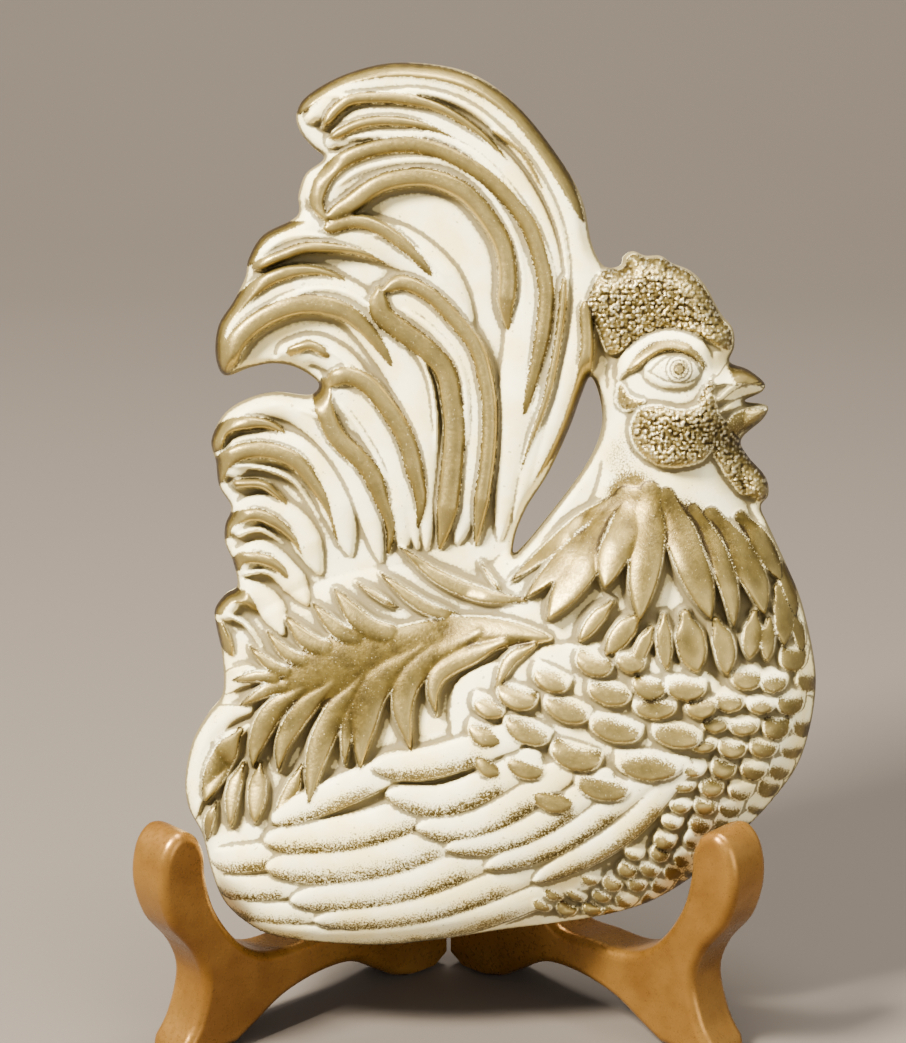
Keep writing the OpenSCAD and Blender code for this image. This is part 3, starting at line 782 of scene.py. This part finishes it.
class Nodes:
    """Short names for building one material."""

    def __init__(self, name):
        self.material = bpy.data.materials.new(name)
        self.material.use_nodes = True
        self.tree = self.material.node_tree
        self.tree.nodes.clear()
        self.shader = self.tree.nodes.new("ShaderNodeBsdfPrincipled")
        out = self.tree.nodes.new("ShaderNodeOutputMaterial")
        self.tree.links.new(self.shader.outputs["BSDF"], out.inputs["Surface"])
        self.place = self.tree.nodes.new("ShaderNodeTexCoord").outputs["Object"]

    def link(self, source, target):
        if hasattr(source, "node"):
            self.tree.links.new(source, target)
        else:
            target.default_value = source

    def noise(self, size_mm, detail=4.0, rough=0.6):
        node = self.tree.nodes.new("ShaderNodeTexNoise")
        node.inputs["Scale"].default_value = 1000.0 / size_mm
        node.inputs["Detail"].default_value = detail
        node.inputs["Roughness"].default_value = rough
        self.link(self.place, node.inputs["Vector"])
        return node.outputs["Fac"]

    def attribute(self, name):
        node = self.tree.nodes.new("ShaderNodeAttribute")
        node.attribute_name = name
        return node.outputs["Fac"]

    def math(self, kind, a, b=0.0):
        node = self.tree.nodes.new("ShaderNodeMath")
        node.operation = kind
        self.link(a, node.inputs[0])
        self.link(b, node.inputs[1])
        return node.outputs[0]

    def spread(self, value, low, high, to_low=0.0, to_high=1.0):
        node = self.tree.nodes.new("ShaderNodeMapRange")
        node.interpolation_type = "SMOOTHSTEP"
        ends = {"From Min": low, "From Max": high, "To Min": to_low, "To Max": to_high}
        for name, setting in ends.items():
            node.inputs[name].default_value = setting
        self.link(value, node.inputs["Value"])
        return node.outputs["Result"]

    def mix(self, factor, a, b):
        node = self.tree.nodes.new("ShaderNodeMix")
        node.data_type = "RGBA"
        self.link(factor, node.inputs["Factor"])
        self.link(a, node.inputs["A"])
        self.link(b, node.inputs["B"])
        return node.outputs["Result"]

    def bump(self, height, depth_mm, strength=1.0, under=None):
        node = self.tree.nodes.new("ShaderNodeBump")
        node.inputs["Strength"].default_value = strength
        node.inputs["Distance"].default_value = depth_mm * MM
        self.link(height, node.inputs["Height"])
        if under is not None:
            self.link(under, node.inputs["Normal"])
        return node.outputs["Normal"]

    def finish(self, color, rough, metal=0.0, normal=None):
        self.link(color, self.shader.inputs["Base Color"])
        self.link(rough, self.shader.inputs["Roughness"])
        self.link(metal, self.shader.inputs["Metallic"])
        if normal is not None:
            self.link(normal, self.shader.inputs["Normal"])
        return self.material


def rgb(red, green, blue):
    """A display colour, 0 to 255, as the linear colour that shaders use."""
    return tuple((x / 255) ** 2.2 for x in (red, green, blue)) + (1.0,)


def casting_paint():
    """Cream ground, gold rubbed over the raised feathers, brown painted shade in the creases and hollows, and
    painted highlights on the crests and pebbles.
    """
    n = Nodes("casting_paint")
    gold = n.attribute("gold")
    cavity = n.attribute("cavity")
    crest = n.attribute("crest")
    pebble = n.attribute("pebble")
    grain = n.noise(1.1, 5)
    stipple = n.noise(0.55, 4, 0.65)
    cloud = n.noise(14, 3)
    rag = n.math("MULTIPLY", n.math("SUBTRACT", stipple, 0.5), 2.0)
    wear = n.math("MULTIPLY", n.math("SUBTRACT", cloud, 0.5), 0.35)
    mask = n.spread(n.math("ADD", n.math("ADD", gold, rag), wear), 0.3, 0.72)
    fleck = n.spread(n.noise(0.7, 3, 0.6), 0.64, 0.76)
    mask = n.math("MULTIPLY", mask, n.math("SUBTRACT", 1.0, n.math("MULTIPLY", fleck, 0.55)))
    cream = n.mix(n.spread(cloud, 0.35, 0.7), rgb(255, 244, 190), rgb(246, 224, 150))
    ragged = n.math("MULTIPLY", n.math("SUBTRACT", grain, 0.5), 1.4)
    # painted shade: the fine creases and the dark and shadow lines, broken up by grain
    crease_shade_and_lines = n.spread(n.math("ADD", cavity, ragged), 0.25, 0.8)
    cream = n.mix(n.math("MULTIPLY", gold, 0.55), cream, rgb(196, 172, 112))
    # painted shade: the cream is darkened over broad hollows
    cream = n.mix(n.math("MULTIPLY", n.attribute("hollow"), 0.75), cream, rgb(200, 184, 130))
    # dark speckle of the paint, gathered in the hollows, where it also darkens them as painted shade
    speckle = n.spread(n.math("ADD", n.attribute("hollow"), ragged), 0.55, 0.8)
    cream = n.mix(n.math("MULTIPLY", speckle, 0.45), cream, rgb(136, 122, 78))
    # painted shade in the creases of the cream
    cream = n.mix(n.math("MULTIPLY", crease_shade_and_lines, 0.85), cream, rgb(80, 67, 34))
    dots = n.spread(n.noise(1.7, 1, 0.4), 0.735, 0.765)
    cream = n.mix(n.math("MULTIPLY", dots, 0.5), cream, rgb(96, 84, 60))
    leafing = n.mix(n.spread(n.noise(5, 4), 0.3, 0.7), rgb(72, 59, 23), rgb(102, 85, 38))
    # painted highlight: the gold is lightened on the raised crests
    leafing = n.mix(n.math("MULTIPLY", crest, 0.3), leafing, rgb(206, 182, 112))
    # painted shade in the creases of the gold
    leafing = n.mix(n.math("MULTIPLY", crease_shade_and_lines, 0.9), leafing, rgb(48, 37, 15))
    # painted highlight on the tops of the pebbled comb, wattle and face
    leafing = n.mix(n.math("MULTIPLY", n.spread(pebble, 0.55, 0.95), 0.6), leafing, rgb(240, 228, 184))
    color = n.mix(mask, cream, leafing)
    rough = n.math("ADD", n.math("MULTIPLY", mask, -0.4), n.spread(grain, 0.3, 0.7, 0.7, 0.84))
    metal = n.math("MULTIPLY", mask, 0.7)
    normal = n.bump(grain, 0.2, 0.5, n.bump(cloud, 0.5, 0.25))
    return n.finish(color, rough, metal, normal)


def board_paint():
    """Gold-bronze paint on wood, darker in its lows, with fine dark speckle."""
    n = Nodes("board_paint")
    cloud = n.noise(26, 4)
    grain = n.noise(1.6, 5)
    color = n.mix(n.spread(cloud, 0.3, 0.7), rgb(118, 80, 32), rgb(143, 103, 47))
    color = n.mix(n.math("MULTIPLY", n.spread(grain, 0.56, 0.72), 0.35), color, rgb(130, 84, 34))
    dots = n.spread(n.noise(1.1, 1, 0.4), 0.72, 0.76)
    color = n.mix(n.math("MULTIPLY", dots, 0.5), color, rgb(80, 50, 24))
    rough = n.spread(grain, 0.3, 0.7, 0.24, 0.38)
    return n.finish(color, rough, 0.66, n.bump(grain, 0.08, 0.5, n.bump(cloud, 0.6, 0.3)))


def plain_metal(name, light, dark, rough):
    n = Nodes(name)
    cloud = n.noise(4, 5)
    fine = n.noise(0.5, 3)
    color = n.mix(n.spread(cloud, 0.35, 0.7), light, dark)
    return n.finish(color, n.spread(fine, 0.3, 0.7, rough, rough + 0.14), 1.0, n.bump(fine, 0.03, 0.4))


def felt_cloth():
    n = Nodes("felt_cloth")
    fuzz = n.noise(0.35, 6, 0.75)
    color = n.mix(n.spread(fuzz, 0.3, 0.7), rgb(96, 72, 50), rgb(60, 44, 30))
    n.shader.inputs["Sheen Weight"].default_value = 0.4
    return n.finish(color, 0.95, 0.0, n.bump(fuzz, 0.25, 0.8))


def plain_stage(name, color, rough):
    n = Nodes(name)
    cloud = n.noise(400, 3)
    darker = tuple(c * 0.9 for c in color[:3]) + (1.0,)
    return n.finish(n.mix(n.spread(cloud, 0.2, 0.8, 0.0, 0.5), color, darker), rough)


# ---------------------------------------------------------------- pieces

def dress(obj, material):
    obj.data.materials.clear()
    obj.data.materials.append(material)


def outer_edges(work):
    """The board's sawn edges, apart from those of the hinge pockets."""
    pin = JOINTS["easel_fold"]["pos_m"]
    chosen = []
    for edge in work.edges:
        away = min(math.hypot(v.co.x - pin[0], v.co.y - pin[1]) for v in edge.verts)
        if len(edge.link_faces) == 2 and edge.calc_face_angle() > math.radians(60) and away > 20 * MM:
            chosen.append(edge)
    return chosen


def round_board(side, material):
    """One easel board with its sawn edges rounded over."""
    node = side + "_board"
    mesh = frame["nodes"][node].data.copy()
    mesh.name = node + "_rounded"
    work = bmesh.new()
    work.from_mesh(mesh)
    bmesh.ops.remove_doubles(work, verts=work.verts, dist=0.00001)
    bmesh.ops.dissolve_limit(work, angle_limit=math.radians(2), verts=work.verts, edges=work.edges)
    bmesh.ops.bevel(work, geom=outer_edges(work), offset=BOARD_ROUND * MM, segments=6, profile=0.5,
                    affect="EDGES", clamp_overlap=False)
    work.to_mesh(mesh)
    work.free()
    board = bpy.data.objects.new(node + "_rounded", mesh)
    bpy.context.scene.collection.objects.link(board)
    mesh.shade_smooth()
    mesh.set_sharp_from_angle(angle=math.radians(40))
    normals = board.modifiers.new("flat_faces", "WEIGHTED_NORMAL")
    normals.keep_sharp = True
    normals.weight = 100
    dress(board, material)
    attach(board, side + "_frame")
    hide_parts(node)


def build_rooster():
    rooster = rooster_mesh()
    dress(rooster, casting_paint())
    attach(rooster, "plaque")
    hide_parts("rooster_casting")


def dress_hardware():
    brass = plain_metal("aged_brass", rgb(206, 168, 92), rgb(150, 112, 54), 0.3)
    zinc = plain_metal("zinc_plate", rgb(190, 192, 196), rgb(140, 142, 148), 0.32)
    felt = felt_cloth()
    by_slot = {"brass": brass, "steel": zinc, "felt": felt}
    for entry in frame["record"]["subparts"]:
        if entry["material_slot"] in by_slot:
            dress(frame["nodes"][entry["node"]], by_slot[entry["material_slot"]])


def build_stage():
    """A pale floor that curves up into a pale wall."""
    low, back, tall, bend = -2.0, 1.6, 2.6, 0.7
    profile = [(low, 0.0), (back - bend, 0.0)]
    for k in range(1, 13):
        a = math.radians(90 * k / 12)
        profile.append((back - bend + bend * math.sin(a), bend - bend * math.cos(a)))
    profile.append((back, tall))
    half = 3.0
    places = [(x, y, z) for y, z in profile for x in (-half, half)]
    faces = [(2 * i, 2 * i + 1, 2 * i + 3, 2 * i + 2) for i in range(len(profile) - 1)]
    mesh = bpy.data.meshes.new("backdrop")
    mesh.from_pydata(places, [], faces)
    mesh.shade_smooth()
    backdrop = bpy.data.objects.new("backdrop", mesh)
    bpy.context.scene.collection.objects.link(backdrop)
    dress(backdrop, plain_stage("pale_paper", rgb(84, 76, 68), 0.8))


def area_light(name, place, target, size, power, color):
    data = bpy.data.lights.new(name, "AREA")
    data.shape = "RECTANGLE"
    data.size, data.size_y = size
    data.energy = power
    data.color = color
    lamp = bpy.data.objects.new(name, data)
    lamp.location = place
    lamp.rotation_euler = (Vector(target) - Vector(place)).to_track_quat("-Z", "Y").to_euler()
    bpy.context.scene.collection.objects.link(lamp)


def build_lights():
    middle = (0.0, 0.0, 0.15)
    area_light("key", (-0.85, -0.62, 1.3), middle, (0.34, 0.34), 165, (1.0, 0.95, 0.86))
    area_light("fill", (0.95, -1.1, 0.45), middle, (0.9, 0.9), 10, (1.0, 0.97, 0.93))
    area_light("top", (0.15, 0.15, 1.4), middle, (0.9, 0.5), 46, (1.0, 0.97, 0.92))
    world = bpy.data.worlds.new("studio")
    world.use_nodes = True
    back = world.node_tree.nodes["Background"]
    back.inputs["Color"].default_value = (0.93, 0.94, 0.96, 1.0)
    back.inputs["Strength"].default_value = 0.7
    bpy.context.scene.world = world


def build_camera():
    """The viewing angle of the picture: a little above, square on to the plaque."""
    data = bpy.data.cameras.new("camera")
    data.sensor_fit = "HORIZONTAL"
    data.sensor_width = 36.0
    distance = 1.25
    across = 0.2985
    data.lens = data.sensor_width * distance / across
    elevation = math.radians(19)
    target = Vector(on_plane(1.5, 141.5, 12.0))
    camera = bpy.data.objects.new("camera", data)
    camera.location = target + distance * Vector((0, -math.cos(elevation), math.sin(elevation)))
    camera.rotation_euler = (target - camera.location).to_track_quat("-Z", "Y").to_euler()
    bpy.context.scene.collection.objects.link(camera)
    bpy.context.scene.camera = camera


build_camera()
build_lights()
build_stage()
build_rooster()
paint = board_paint()
round_board("left", paint)
round_board("right", paint)
dress_hardware()

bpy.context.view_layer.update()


def plain(box):
    return [[float(x) for x in corner] for corner in box]
